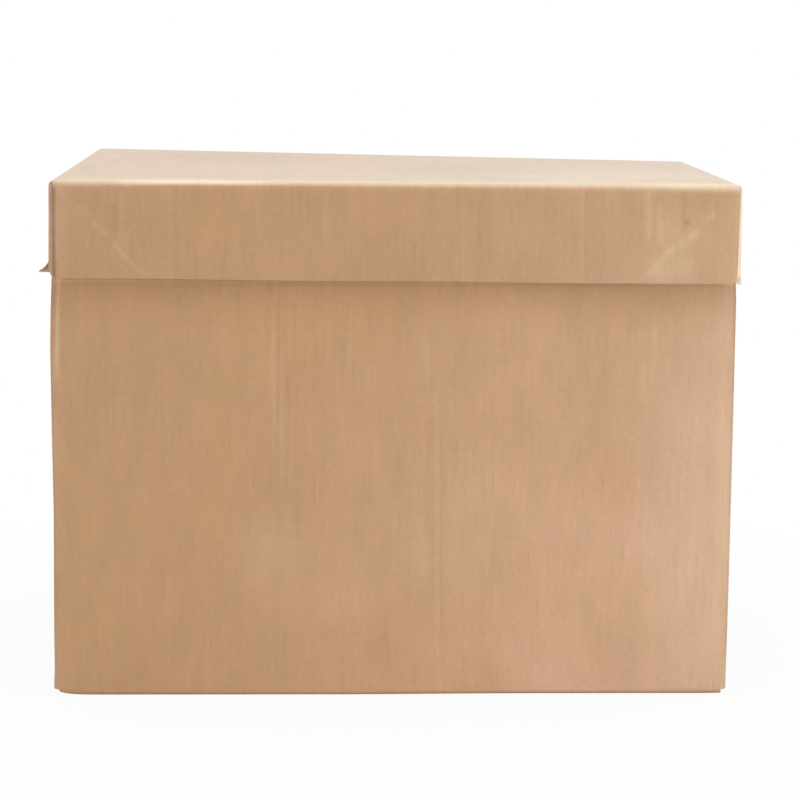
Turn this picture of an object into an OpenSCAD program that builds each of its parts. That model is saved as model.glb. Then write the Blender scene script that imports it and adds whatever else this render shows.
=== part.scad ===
// Cardboard box in two pieces: a deep base, and a cap lid whose skirt comes down over it.
// Each is one folded sheet of corrugated board.
// Millimetres, +Z up. The origin is on the ground under the middle, and the front faces -Y.

/* [Board] */
// Thickness of the corrugated board
board_t = 4; // [2:0.1:7]
// Inner radius of a fold
fold_in_r = 0.5; // [0.2:0.1:3]
// Thickness of one crushed layer in the lid's folded corners
web_t = 2.2; // [1:0.1:5]

/* [Base] */
// Width over the side walls
base_w = 578; // [420:1:900]
// Depth over the front and back walls
base_d = 380; // [200:1:400]
// Height from the ground to the rim
base_h = 438; // [150:1:800]
// Gap where the two outer bottom flaps meet
flap_gap = 2; // [0.5:0.1:8]
// Distance from a corner to the end of the flap beside it
slot_end = 3; // [1:0.1:10]
// Width of the glued lap inside the back wall
lap_w = 35; // [15:1:80]
// Thickness of the glued lap, which is crushed
lap_t = 3; // [1:0.1:6]
// Distance from the rim to the top of the lap
lap_drop = 4; // [1:0.5:20]
// Thickness of the glue between the lap and the back wall
glue_t = 0.2; // [0.1:0.1:1]
// How far the back wall's raw end stops short of the right wall's face
raw_end = 1; // [0.3:0.1:4]

/* [Lid] */
// Depth of the skirt, from the top face to the cut edge
skirt_h = 82; // [30:1:140]
// Clearance between the lid and the base on each side
lid_gap = 0.8; // [0.4:0.1:4]

/* [Torn corner of the lid] */
// How far the torn tab stands out from the skirt
tab_out = 7; // [3:0.5:20]
// Height of the torn tab
tab_h = 13; // [6:0.5:25]
// Length of the torn tab along the skirt
tab_len = 14; // [6:1:40]
// Thickness of the tab's edge
tab_t = 1.6; // [1:0.1:4]

/* [Hidden] */
$fn = 48;
board_colour = [0.74, 0.57, 0.43];
liner_colour = [0.71, 0.55, 0.41];
fold_r = board_t + fold_in_r;          // outer radius of a fold
floor_top = 2 * board_t;               // inner face of the inner flaps
flap_reach = (base_d - flap_gap) / 2;  // all four flaps are as long, as on a sheet cut straight
lap_y = base_d / 2 - board_t - glue_t; // outer face of the glued lap
lid_in_w = base_w + 2 * lid_gap;       // across the lid's side skirts, inside
lid_in_d = base_d + 2 * (lid_gap + 2 * web_t);  // across the front and back skirts, inside
lid_w = lid_in_w + 2 * board_t;
lid_d = lid_in_d + 2 * board_t;
lid_top = base_h + board_t;
skirt_z = lid_top - skirt_h;           // cut edge of the skirt
web_h = base_h - skirt_z;              // inside height of the skirt, and the reach of a web corner
side_fold_y = lid_d / 2 - board_t - web_t;  // where a side skirt turns in behind the front skirt
hairpin_r = (board_t + web_t) / 2;     // a front skirt's end, folded back on itself
over = 1;                              // how far a cut runs past what it cuts

// Rectangle about the origin with round corners
module round_rect(w, d, r) {
    square([w - 2 * r, d], center = true);
    square([w, d - 2 * r], center = true);
    for (sx = [-1, 1], sy = [-1, 1])
        translate([sx * (w / 2 - r), sy * (d / 2 - r)]) circle(r);
}

// Quarter ring of folded board: its centre is the origin, and it bulges towards -X and -Y
module fold_section() {
    intersection() {
        difference() {
            circle(fold_r);
            circle(fold_in_r);
        }
        translate([-fold_r, -fold_r]) square(fold_r);
    }
}

// A wall that turns in as a bottom flap: X goes inwards from the outer face, Y goes up
module wall_and_flap(top) {
    translate([0, fold_r]) square([board_t, top - fold_r]);
    translate([fold_r, fold_r]) fold_section();
    translate([fold_r, 0]) square([flap_reach - fold_r, board_t]);
}

// The same section drawn out along the wall, for the front wall
module front_panel(length, top) {
    translate([-length / 2, -base_d / 2, 0])
        rotate([90, 0, 90]) linear_extrude(length) wall_and_flap(top);
}

// And for the left wall
module left_panel(length, top) {
    translate([-base_w / 2, length / 2, 0])
        rotate([90, 0, 0]) linear_extrude(length) wall_and_flap(top);
}

// The corner at the back right, where the sheet's two ends meet: the back wall runs on to a raw end,
// and the right wall's fold turns in behind it
module joint_corner() {
    translate([base_w / 2 - fold_r, base_d / 2 - board_t]) square([fold_r - raw_end, board_t]);
    translate([base_w / 2 - fold_r, lap_y - fold_r]) rotate(180) fold_section();
}

// The four walls, above the folds of the bottom flaps
module base_walls() {
    translate([0, 0, fold_r]) linear_extrude(base_h - fold_r) {
        difference() {
            round_rect(base_w, base_d, fold_r);
            round_rect(base_w - 2 * board_t, base_d - 2 * board_t, fold_in_r);
            translate([base_w / 2 - fold_r, lap_y - fold_r]) square(fold_r + board_t + glue_t + over);
        }
        joint_corner();
    }
}

// Lap on the right wall's back edge, glued to the inside of the back wall
module glued_lap() {
    low = floor_top + lap_drop;
    high = base_h - lap_drop;
    translate([base_w / 2 - fold_r, base_d / 2 - board_t, 0])
        rotate([90, 0, 0]) linear_extrude(glue_t + lap_t)
            polygon([[0, low], [0, high], [-lap_w, high - lap_w / 3], [-lap_w, low + lap_w / 3]]);
}

// Deep base: walls, bottom flaps that cross over each other, and the lap that joins the sheet
module base() {
    outer_len = base_w - 2 * slot_end;
    inner_len = base_d - 2 * (board_t + slot_end);
    side_z = board_t + fold_r;         // the side walls' folds lie on the outer flaps
    color(board_colour) {
        difference() {
            base_walls();
            for (sx = [-1, 1])
                translate([sx * base_w / 2, 0, side_z / 2])
                    cube([2 * fold_r, inner_len, side_z], center = true);
        }
        for (turn = [0, 180])
            rotate(turn) {
                front_panel(outer_len, fold_r + over);
                translate([0, 0, board_t]) left_panel(inner_len, fold_r + over);
            }
        glued_lap();
    }
}

// Outline of the lid from above: the side skirts stand out past the ends of the front and back
module lid_outline() {
    round_rect(lid_w, 2 * side_fold_y, fold_r);
    round_rect(lid_w - 2 * board_t, lid_d, hairpin_r);
}

// Section across the lid with its two top folds: X is centred, Y is the height
module lid_section(w) {
    translate([-w / 2, skirt_z]) square([w, skirt_h - fold_r]);
    translate([-w / 2 + fold_r, skirt_z]) square([w - 2 * fold_r, skirt_h]);
    for (sx = [-1, 1])
        translate([sx * (w / 2 - fold_r), lid_top - fold_r]) circle(fold_r);
}

// The folded lid as a full block, before it is hollowed
module lid_block() {
    intersection() {
        translate([0, 0, skirt_z]) linear_extrude(skirt_h) lid_outline();
        translate([0, lid_d / 2, 0])
            rotate([90, 0, 0]) linear_extrude(lid_d) lid_section(lid_w);
        translate([-lid_w / 2, 0, 0])
            rotate([90, 0, 90]) linear_extrude(lid_w) lid_section(lid_d);
    }
}

// Web corner: the sheet's corner square, folded to a triangle of two layers inside the front skirt.
// Its slanting fold starts one board thickness in from the lid's corner, where the layers crowd.
module web_corner() {
    translate([-lid_in_w / 2, -lid_in_d / 2 + 2 * web_t, 0])
        rotate([90, 0, 0]) linear_extrude(2 * web_t)
            polygon([[0, skirt_z], [web_h + board_t, skirt_z], [board_t, base_h], [0, base_h]]);
}

// Torn tab: a corner of the left skirt's cut edge, peeled outwards
module torn_tab() {
    translate([-lid_w / 2, -side_fold_y + fold_r + tab_len, skirt_z])
        rotate([90, 0, 0]) linear_extrude(tab_len)
            polygon([[over, 0], [-tab_out + tab_t, 0], [-tab_out, tab_t], [-tab_out / 2, tab_h / 2],
                     [0, tab_h], [over, tab_h]]);
}

// Cap lid: top panel, four skirts, and a web corner inside each end of the front and back skirts
module lid() {
    color(liner_colour) {
        difference() {
            lid_block();
            translate([-lid_in_w / 2, -lid_in_d / 2, skirt_z - over])
                cube([lid_in_w, lid_in_d, web_h + over]);
        }
        for (sx = [0, 1], sy = [0, 1])
            mirror([sx, 0, 0]) mirror([0, sy, 0]) web_corner();
        torn_tab();
    }
}

base();
lid();
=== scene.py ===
import math
import bmesh
import bpy
import numpy as np
from mathutils import Matrix, Vector


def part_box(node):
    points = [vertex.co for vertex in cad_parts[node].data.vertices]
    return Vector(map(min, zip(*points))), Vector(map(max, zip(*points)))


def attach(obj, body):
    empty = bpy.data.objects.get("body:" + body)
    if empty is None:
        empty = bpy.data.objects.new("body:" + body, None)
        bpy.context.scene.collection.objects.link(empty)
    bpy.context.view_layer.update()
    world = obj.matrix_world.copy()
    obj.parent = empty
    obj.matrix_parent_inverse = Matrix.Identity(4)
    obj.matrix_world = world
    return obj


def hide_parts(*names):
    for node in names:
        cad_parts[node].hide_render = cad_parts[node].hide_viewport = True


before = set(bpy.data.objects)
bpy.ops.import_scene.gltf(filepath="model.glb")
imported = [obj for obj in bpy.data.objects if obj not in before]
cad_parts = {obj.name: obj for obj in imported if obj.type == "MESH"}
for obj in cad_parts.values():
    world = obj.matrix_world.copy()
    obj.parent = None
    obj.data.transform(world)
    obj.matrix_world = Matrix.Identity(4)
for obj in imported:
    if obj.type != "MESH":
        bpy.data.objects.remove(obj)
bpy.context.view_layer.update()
print("frame loaded:", ", ".join(sorted(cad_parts)))

mm = 0.001  # all lengths below are in millimetres unless a note says metres
white = (1, 1, 1, 1)

# Board: the sheet that both pieces are folded from
board = {
    "thickness": 4,
    "foldInside": 0.5,      # inner radius of a fold
    "flutePitch": 7.96,     # from one flute to the next
    "columnsPerFlute": 4,   # grid columns of the mesh
    "liner": 0.4,           # paper on each face
    "fluting": 0.3,         # wavy paper between the faces
    "openDepth": 7,         # how far one can look in between the flutes
    "ripple": 0.045,        # how far the flutes press through the liner
    "weldGrid": 20,         # points closer than 1/20 mm are welded
    "weldShift": 0.0137,    # keeps round sizes off the grid's borders
    "lipCut": 0.6,          # how much a liner's lip looks like the cut edge
    "sharpAngle": 38,       # degrees
}
foldOutside = board["thickness"] + board["foldInside"]
columnStep = board["flutePitch"] / board["columnsPerFlute"]


# Camera: the photograph's own view
shot = {
    "lens": 110,                # for a 36 mm sensor
    "shift": (-0.07, -0.11),    # shares of the picture's width
    "yaw": 2.17,                # degrees
    "pitch": 7.16,
    "roll": 0.54,
    "distance": 2.273,          # metres
    "aim": (0.058, 0, 0.3118),  # metres
}


def addObject(name, data):
    added = bpy.data.objects.new(name, data)
    bpy.context.scene.collection.objects.link(added)
    return added


def makeCamera(shot):
    yaw, pitch, roll = (math.radians(shot[name]) for name in ("yaw", "pitch", "roll"))
    ahead = Vector((math.sin(yaw) * math.cos(pitch), math.cos(yaw) * math.cos(pitch), -math.sin(pitch)))
    level = Vector((math.cos(yaw), -math.sin(yaw), 0))
    above = level.cross(ahead)
    right = level * math.cos(roll) + above * math.sin(roll)
    up = above * math.cos(roll) - level * math.sin(roll)
    lens = bpy.data.cameras.new("camera")
    lens.lens = shot["lens"]
    lens.shift_x, lens.shift_y = shot["shift"]
    camera = addObject("camera", lens)
    turn = Matrix((right, up, -ahead)).transposed().to_4x4()
    camera.matrix_world = Matrix.Translation(Vector(shot["aim"]) - ahead * shot["distance"]) @ turn
    bpy.context.scene.camera = camera


makeCamera(shot)
print("camera placed")


# Small helpers for shapes
def ease(value, low, high):
    share = np.clip((value - low) / (high - low), 0, 1)
    return share * share * (3 - 2 * share)


def bell(value, middle, width):
    return np.exp(-((value - middle) / width) ** 2)


# One array of points from separate coordinates
def joined(*parts):
    return np.stack(np.broadcast_arrays(*parts), -1)


# Steps of about one length from a start to a stop
def evenly(start, stop, step):
    return np.linspace(start, stop, max(1, round(abs(stop - start) / step)) + 1)


class BoardSheet:
    # A folded board, gathered as grid patches. Each grid point has a place on the outer face, one on the
    # inner face, and one on the sheet while it lay flat: X across the flutes and Y along them.
    def __init__(self):
        self.points = []
        self.quads = []
        self.openRuns = []
        self.count = 0

    def patch(self, outer, inner, flat, formed=1.0, openSides=()):
        columns, rows = outer.shape[:2]
        ids = self.count + np.arange(columns * rows).reshape(columns, rows)
        formed = np.broadcast_to(formed, (columns, rows))[..., None]
        self.points.append(np.concatenate((outer, inner, flat, formed), -1).reshape(-1, 9))
        quads = np.stack((ids[:-1, :-1], ids[1:, :-1], ids[1:, 1:], ids[:-1, 1:]), -1).reshape(-1, 4)
        points = self.points[-1]
        corners = points[quads - self.count]
        diagonals = corners[:, 2] - corners[:, 0], corners[:, 3] - corners[:, 1]
        area = np.cross(diagonals[0][:, 0:3], diagonals[1][:, 0:3])
        area += np.cross(diagonals[0][:, 3:6], diagonals[1][:, 3:6])
        outward = (corners[:, :, 0:3] - corners[:, :, 3:6]).mean(1)
        if (area * outward).sum() < 0:
            quads = quads[:, ::-1]
        self.quads.append(quads)
        sides = {"low": (ids[:, 0], ids[:, 1]), "high": (ids[:, -1], ids[:, -2])}
        for side in openSides:
            self.openRuns.append(sides[side])
        self.count += columns * rows

    # Welds the patches, bends the sheet into shape and closes every free edge
    def build(self, name, bend, wearOf):
        points = np.concatenate(self.points)
        keys = np.round((points[:, :6] + board["weldShift"]) * board["weldGrid"]).astype(np.int64)
        _, first, back = np.unique(keys, axis=0, return_index=True, return_inverse=True)
        back = back.reshape(-1)
        points = points[first]
        quads = back[np.concatenate(self.quads)]
        outer, inner, tone = bend(points[:, 0:3], points[:, 3:6], points[:, 6:8])
        self.outer, self.inner, self.flat = outer, inner, points[:, 6:8]
        self.runs = [(back[edge], back[behind]) for edge, behind in self.openRuns]
        total = len(points)
        lip = board["liner"] / np.maximum(np.linalg.norm(outer - inner, axis=1, keepdims=True), 1)
        outerLip, innerLip = outer + (inner - outer) * lip, inner + (outer - inner) * lip

        inward = np.zeros((total, 3))
        openEdges = set()
        for edge, behind in self.runs:
            np.add.at(inward, edge, (outer[behind] + inner[behind] - outer[edge] - inner[edge]))
            openEdges.update(frozenset(pair) for pair in zip(edge[:-1].tolist(), edge[1:].tolist()))
        inward /= np.maximum(np.linalg.norm(inward, axis=1, keepdims=True), 1e-9)
        self.inward = inward
        deep = inward * board["openDepth"]
        layers = [outer, inner, outerLip, innerLip, outerLip + deep, innerLip + deep]
        outerFace, innerFace, outerLine, innerLine, outerDeep, innerDeep = (total * k for k in range(6))

        faces, ways = [], {}        # the ways keep their order
        for quad in quads.tolist():
            ring = [v for k, v in enumerate(quad) if v != quad[k - 1]]
            if len(set(ring)) < 3 or len(set(ring)) < len(ring):
                continue
            faces.append(ring)
            ways.update(dict.fromkeys(zip(ring, ring[1:] + ring[:1])))
        free = [(a, b) for a, b in ways if (b, a) not in ways]
        faces += [[v + innerFace for v in reversed(ring)] for ring in list(faces)]

        openAt = {}
        for a, b in free:
            steps = [outerFace, outerLine, innerLine, innerFace]
            if frozenset((a, b)) in openEdges:
                steps = [outerFace, outerLine, outerDeep, innerDeep, innerLine, innerFace]
                openAt.setdefault(a, []).append(0)
                openAt.setdefault(b, []).append(1)
            for near, far in zip(steps, steps[1:]):
                faces.append([b + near, a + near, a + far, b + far])
        for v, ends in openAt.items():
            if len(ends) == 1:      # the groove between the liners is closed where it ends
                cap = [v + outerLine, v + outerDeep, v + innerDeep, v + innerLine]
                faces.append(cap if ends[0] == 1 else cap[::-1])

        wear = wearOf(self.flat)
        cut = np.concatenate([np.zeros(2 * total), np.full(2 * total, board["lipCut"]), np.ones(2 * total)])
        inside = np.concatenate([np.zeros(total), np.ones(total), np.full(4 * total, 0.5)])
        paintedShading = np.where(tone > 0.3, tone, 0)      # painted highlight and glare so pale that the cut edge is painted pale too
        tone = np.concatenate([tone, np.zeros(total), np.tile(paintedShading, 4)])
        values = {"wear": np.tile(wear, 6), "cut": cut, "inside": inside, "tone": tone,
                  "formed": np.tile(points[:, 8], 6)}
        places = np.concatenate(layers)
        used = np.zeros(len(places), bool)
        used[np.concatenate([np.array(face) for face in faces])] = True
        renumber = np.cumsum(used) - 1
        faces = [[int(renumber[v]) for v in face] for face in faces]
        values = {key: value[used] for key, value in values.items()}
        return makeMesh(name, places[used] * mm, faces, np.tile(self.flat, (6, 1))[used] * mm, values)


def makeMesh(name, places, faces, flat, values):
    mesh = bpy.data.meshes.new(name)
    mesh.from_pydata(places.tolist(), [], faces)
    for key, value in values.items():
        mesh.attributes.new(key, "FLOAT", "POINT").data.foreach_set("value", value.astype(np.float32))
    corner = np.empty(len(mesh.loops), np.int32)
    mesh.loops.foreach_get("vertex_index", corner)
    layer = mesh.uv_layers.new(name="sheet")
    layer.data.foreach_set("uv", flat[corner].astype(np.float32).ravel())
    mesh.shade_smooth()
    mesh.set_sharp_from_angle(angle=math.radians(board["sharpAngle"]))
    mesh.validate()
    return addObject(name, mesh)


# Base: four walls round a strip of board, bottom flaps that cross, and a lap glued inside the back wall
baseHigh = np.array(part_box("base")[1]) / mm
base = {
    "halfWidth": baseHigh[0],
    "halfDepth": baseHigh[1],
    "rim": baseHigh[2],
    "flapGap": 2,
    "slotEnd": 3,               # from the walls' inner face to the end of an inner flap
    "lapWidth": 35,             # the glued lap inside the back wall
    "lapThickness": 3,
    "lapDrop": 4,               # from the rim down to the lap
    "glue": 0.2,
    "rawEnd": 1,                # the back wall's raw end stops short of the right wall's face
    "foldSteps": 6,             # grid steps round a fold
    "flapRows": (20, 40),       # grid rows of a flap, from the wall's outer face
    # how far the side walls have spread at each of these heights
    "heights": (0, 60, 160, 230, 300, 330, 345, 362, 378),
    "leftFront": (4.0, 4.1, 3.4, 4.2, 4.8, 4.3, 3.7, 3.0, 0.6),
    "leftBack": (4.0, 4.1, 3.4, 4.0, 3.8, 2.6, 1.6, 0.6, 0.5),
    "right": (0.3, 1.0, 1.5, 1.7, 1.9, 2.0, 2.0, 1.3, 0.5),
    "bulge": 3,                 # further bulge of the side walls half way back
    "frontHeights": (0, 60, 160, 230, 300, 335, 348, 361, 375),
    "front": (0, 0.2, 0.6, 1.2, 2.2, 2.8, 2.6, 0.9, 0.2),       # and how far the front and back bulge
    "waves": 0.3,               # the walls are never quite flat
    "rimDown": 1.6,             # the rim is crushed at the back right, where the lid hangs
    "footUp": 0.8,              # the front's fold is off the ground at the right
    "crushLeft": (6, 7),        # height and reach of the crushed corner on the ground
    "crushRight": (0.8, 6),
    "groundShadeAndGrime": 0.32,          # how much darker the front's fold on the ground is painted: painted contact shade, with some grime
    "paintedShading": (0.08, 45),       # painted shadow: how much darker the paper is painted below the lid's cut edge, and how far down
    "shadowFill": 0.07,            # painted light: how much paler the front is painted right at that edge, which softens the shadow line there
}
lidLow, lidHigh = (np.array(corner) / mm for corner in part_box("lid"))
skirtEdge, lidTop = lidLow[2], lidHigh[2]


# Both add columns of the board's section, as outer X and Y and inner X and Y, and say which is the last
def addStrip(columns, outerStart, outerEnd, innerStart, innerEnd, step=columnStep):
    run = np.hypot(outerEnd[0] - outerStart[0], outerEnd[1] - outerStart[1])
    share = np.linspace(0, 1, max(1, round(run / step)) + 1)[:, None]
    outer = np.array(outerStart) + share * (np.array(outerEnd) - outerStart)
    inner = np.array(innerStart) + share * (np.array(innerEnd) - innerStart)
    columns.append(np.concatenate((outer, inner), 1))
    return sum(len(part) for part in columns) - 1


def addFold(columns, middle, start, radius, innerRadius, steps):
    angle = np.radians(np.linspace(start, start + 90, steps + 1))
    way = np.stack((np.cos(angle), np.sin(angle)), 1)
    outer = np.array(middle) + way * radius
    inner = np.array(middle) + way * np.linspace(*innerRadius, steps + 1)[:, None]
    columns.append(np.concatenate((outer, inner), 1))
    return sum(len(part) for part in columns) - 1


# Bends the folded base as use has bent it
def bendBase(outer, inner, flat):
    halfW, halfD = base["halfWidth"], base["halfDepth"]

    def move(p):
        x, y, z = p.T
        below = 1 - ease(z, skirtEdge - 40, skirtEdge)
        low = ease(z, 0, 25)
        toLeft = ease(-x, -150, halfW)
        toRight = np.clip(x / halfW, 0, 1) ** 2
        backwards = ease(y, -130, 40)
        left = (1 - backwards) * np.interp(z, base["heights"], base["leftFront"])
        left += backwards * np.interp(z, base["heights"], base["leftBack"])
        right = np.interp(z, base["heights"], base["right"])
        midway = np.cos(np.clip(y / halfD, -1, 1) * math.pi / 2) ** 2
        belly = base["bulge"] * midway * np.sin(np.clip(z / skirtEdge, 0, 1) * math.pi) ** 0.8
        onLeft, onRight = ease(-x, halfW - 14, halfW - 3), ease(x, halfW - 14, halfW - 3)
        moveX = right * toRight - left * toLeft + belly * (onRight - onLeft) * (0.1 + 0.9 * below)
        across = np.cos(np.clip(x / halfW, -1, 1) * math.pi / 2)
        arch = ease(halfW - 4 - np.abs(x), 0, 40) * np.interp(z, base["frontHeights"], base["front"])
        wave = base["waves"] * (np.sin(x / 47 + 1.3) * np.sin(z / 61 + 0.4) + 0.5 * np.sin(x / 23 + z / 37))
        atFront, atBack = ease(-y, halfD - 12, halfD - 6), ease(y, halfD - 12, halfD - 8)
        moveY = (atBack - atFront) * (arch + wave * across ** 0.3 * below * low)
        sideWave = base["waves"] * np.sin(y / 41 + 0.7) * np.sin(z / 53 + 2) * midway
        moveX += (onRight - onLeft) * sideWave * below * low
        lift = -base["rimDown"] * ease(x, 0, 250) * ease(y, 0, 150) * ease(z, 300, base["rim"])
        lift += base["footUp"] * ease(x, -60, 120) * ease(-y, halfD - 40, halfD - 4) * (1 - ease(z, 0, 40))
        for side, (height, reach) in ((-1, base["crushLeft"]), (1, base["crushRight"])):
            away = np.hypot(x - side * halfW, y + halfD)
            crush = height * np.exp(-away / reach)
            lift += crush * (1 - ease(z, 0, 32)) * (1 - 0.65 * ease(z, 0, foldOutside))
            moveX += side * 0.15 * crush * bell(z, 9, 8)
        return p + np.stack((moveX, moveY, lift), 1)

    placedOuter, placedInner = move(outer), move(inner)
    normal = placedOuter - placedInner
    normal /= np.linalg.norm(normal, axis=1, keepdims=True)
    x, y, z = outer.T
    ripple = board["ripple"] * np.sin(flat[:, 0] * 2 * math.pi / board["flutePitch"])
    middle = np.argmin(np.abs(x) + np.abs(y + halfD) + np.abs(z - 100))
    unrolled = flat[:, 0] - flat[middle, 0] + x[middle]     # X on the front, and on past its folds
    onFront = (y < 0) & (z > foldOutside) & (np.abs(unrolled) < halfW + 31)
    relief = ripple * ease(z, 0, 12) * (y < halfD - 0.1)
    onFold = (z < foldOutside) & (y < -halfD + foldOutside)
    # Painted contact shade and some grime along the front's fold on the ground
    tone = -base["groundShadeAndGrime"] * bell(flat[:, 1], 1.2, 1.5) * onFold
    # Painted shadow: the paper is darker just below the lid's cut edge, fading further down
    uncovered = 1 - ease(z, skirtEdge - 1.5, skirtEdge + 1.5)
    tone -= base["paintedShading"][0] * uncovered * (1 - ease(skirtEdge - z, 0, base["paintedShading"][1]))
    # Painted light: a thin paler strip right under the lid's edge
    tone += base["shadowFill"] * bell(z, skirtEdge + 1.2, 1.2) * (y < -halfD + 1)
    for mark in baseMarks:
        share = onFront * onMark(mark, unrolled, z)
        relief += share * mark["out"]
        tone += share * mark["tone"]
    placedOuter += normal * relief[:, None]
    placedOuter[:, 2] = np.maximum(placedOuter[:, 2], 0)
    return placedOuter, placedInner, tone


# A mark in a sheet: where the line starts and ends, half its width, how much lighter or darker it is, how
# far it stands out, and how long its ends take to fade
def markLine(start, end, width, tone, out=0, fade=0):
    start, end = np.array(start, float), np.array(end, float)
    length = np.hypot(*(end - start))
    return {"start": start, "way": (end - start) / length, "length": length, "width": width,
            "tone": tone, "out": out, "fade": fade or min(12, length / 3)}


# How strongly each point lies on a mark, fading out at its ends
def onMark(mark, across, along):
    start, way, half = mark["start"], mark["way"], mark["fade"] / 2
    run = (across - start[0]) * way[0] + (along - start[1]) * way[1]
    aside = (across - start[0]) * way[1] - (along - start[1]) * way[0]
    ends = ease(run, -half, half) * (1 - ease(run, mark["length"] - half, mark["length"] + half))
    return bell(aside, 0, mark["width"]) * ends


# Marks in the front of the base, by X and height. Their light and dark lines paint the highlight and shade of
# the creases and corner folds, beside the creases' real relief; the wide soft ones make broad paler and
# darker patches
baseMarks = [
    markLine((-106, 364), (-106, 350), 1.3, -0.06, -0.2),
    markLine((-101.6, 362), (-101, 215), 1.9, 0.028, 0.15),
    markLine((-97.5, 346), (-97.5, 290), 1.2, -0.07, -0.2),
    markLine((-97.5, 290), (-97.2, 250), 1.3, -0.03, -0.1),
    markLine((-89, 286), (-89, 258), 1.2, -0.06, -0.15),
    markLine((-89, 256), (-89, 205), 1.3, -0.03, -0.1),
    markLine((-95, 262), (-95, 190), 1.6, 0.03, 0.1),
    markLine((-87, 250), (-87, 195), 1.5, 0.02, 0.1),
    markLine((-38, 342), (-37.5, 290), 1.4, 0.035, 0.1),
    markLine((-40.5, 342), (-40, 305), 1.2, -0.035, -0.08),
    markLine((27, 312), (27.5, 280), 1.6, 0.035, 0.08),
    markLine((36, 284), (38, 15), 1.5, 0.032, 0.12),
    markLine((39.8, 228), (40.8, 60), 1.3, -0.045, -0.1),
    markLine((32, 242), (33.5, 90), 3, -0.02, -0.05),
    markLine((219, 344), (220, 276), 1.6, 0.035, 0.12),
    markLine((211, 290), (211.5, 266), 1.6, 0.03, 0.1),
    markLine((-283.3, 380), (-283.4, 285), 2.2, 0.15, fade=40),
    markLine((-285.2, 380), (-285.2, 300), 1.4, -0.15),
    markLine((-286.8, 290), (-286.8, 20), 2.2, -0.04),
    markLine((287, 372), (287, 40), 1.5, -0.05),
    markLine((280, 365), (279, 10), 6, 0.04, fade=40),
    markLine((262, 270), (260, -20), 34, 0.055, fade=110),
    markLine((-130, 131), (-90, 134), 20, 0.018, fade=30),
    markLine((20, 205), (60, 105), 36, 0.016, fade=40),
    markLine((-75, 52), (10, 44), 28, -0.016, fade=40),
    markLine((160, 220), (208, 165), 30, -0.022, fade=30),
]


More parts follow.
